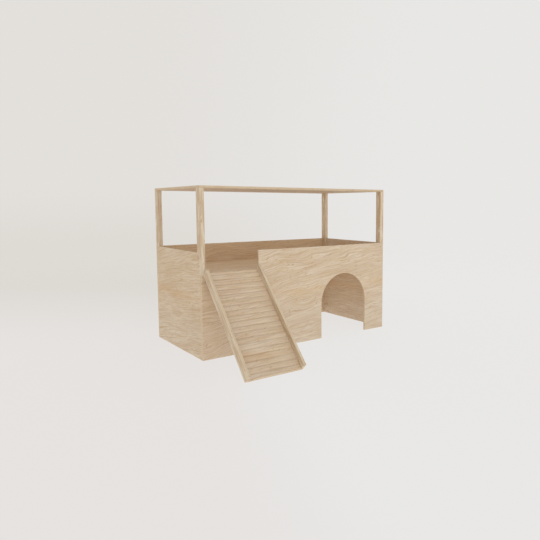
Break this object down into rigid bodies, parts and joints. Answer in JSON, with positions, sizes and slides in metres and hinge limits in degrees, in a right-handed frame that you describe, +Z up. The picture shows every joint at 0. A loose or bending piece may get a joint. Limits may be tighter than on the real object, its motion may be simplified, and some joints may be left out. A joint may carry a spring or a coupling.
{
  "type": "guinea pig house",
  "caption": "Plywood guinea pig house: arched doorway into a den, a loft deck under a flat roof on corner posts, and a hinged grooved ramp with side rails.",
  "frame": {"origin": "on the floor, in the middle of the whole outline of house and ramp", "axes": "+X to the right along the house's length, seen from the front; +Y from the ramp and front wall to the back; +Z up"},
  "size_m": [0.6, 0.5188, 0.426],
  "materials": {
    "plywood_face": "sanded, unfinished",
    "plywood_inside": "sanded, unfinished",
    "post_wood": "planed, unfinished",
    "bearer_wood": "planed, unfinished",
    "rail_wood": "sanded, unfinished",
    "ramp_board_wood": "sanded, unfinished",
    "hinge_steel": "zinc plated",
    "screw_steel": "zinc plated",
    "panel_pin_steel": "bright steel"
  },
  "bodies": {
    "house": {"front_panel": "plywood_face", "back_panel": "plywood_face", "left_panel": "plywood_face", "right_panel": "plywood_face", "deck": "plywood_inside", "roof": "plywood_face", "post_front_left": "post_wood", "post_front_right": "post_wood", "post_rear_left": "post_wood", "post_rear_right": "post_wood", "bearer_front": "bearer_wood", "bearer_rear": "bearer_wood", "bearer_left": "bearer_wood", "bearer_right": "bearer_wood", "hinge_left_wall_leaf": "hinge_steel", "hinge_left_pin": "hinge_steel", "hinge_right_wall_leaf": "hinge_steel", "hinge_right_pin": "hinge_steel", "hinge_wall_screws": "screw_steel", "roof_screws": "screw_steel", "panel_pins": "panel_pin_steel", "post_pins": "panel_pin_steel", "deck_pins": "panel_pin_steel"},
    "ramp": {"ramp_board": "ramp_board_wood", "ramp_rail_left": "rail_wood", "ramp_rail_right": "rail_wood", "hinge_left_ramp_leaf": "hinge_steel", "hinge_right_ramp_leaf": "hinge_steel", "hinge_ramp_screws": "screw_steel", "ramp_pins": "panel_pin_steel"}
  },
  "joints": [
    {"name": "ramp_hinge", "type": "hinge", "parent": "house", "child": "ramp", "pos_m": [0, -0.04264, 0.21], "axis": [-1, 0, 0], "range_deg": [0, 49]}
  ]
}
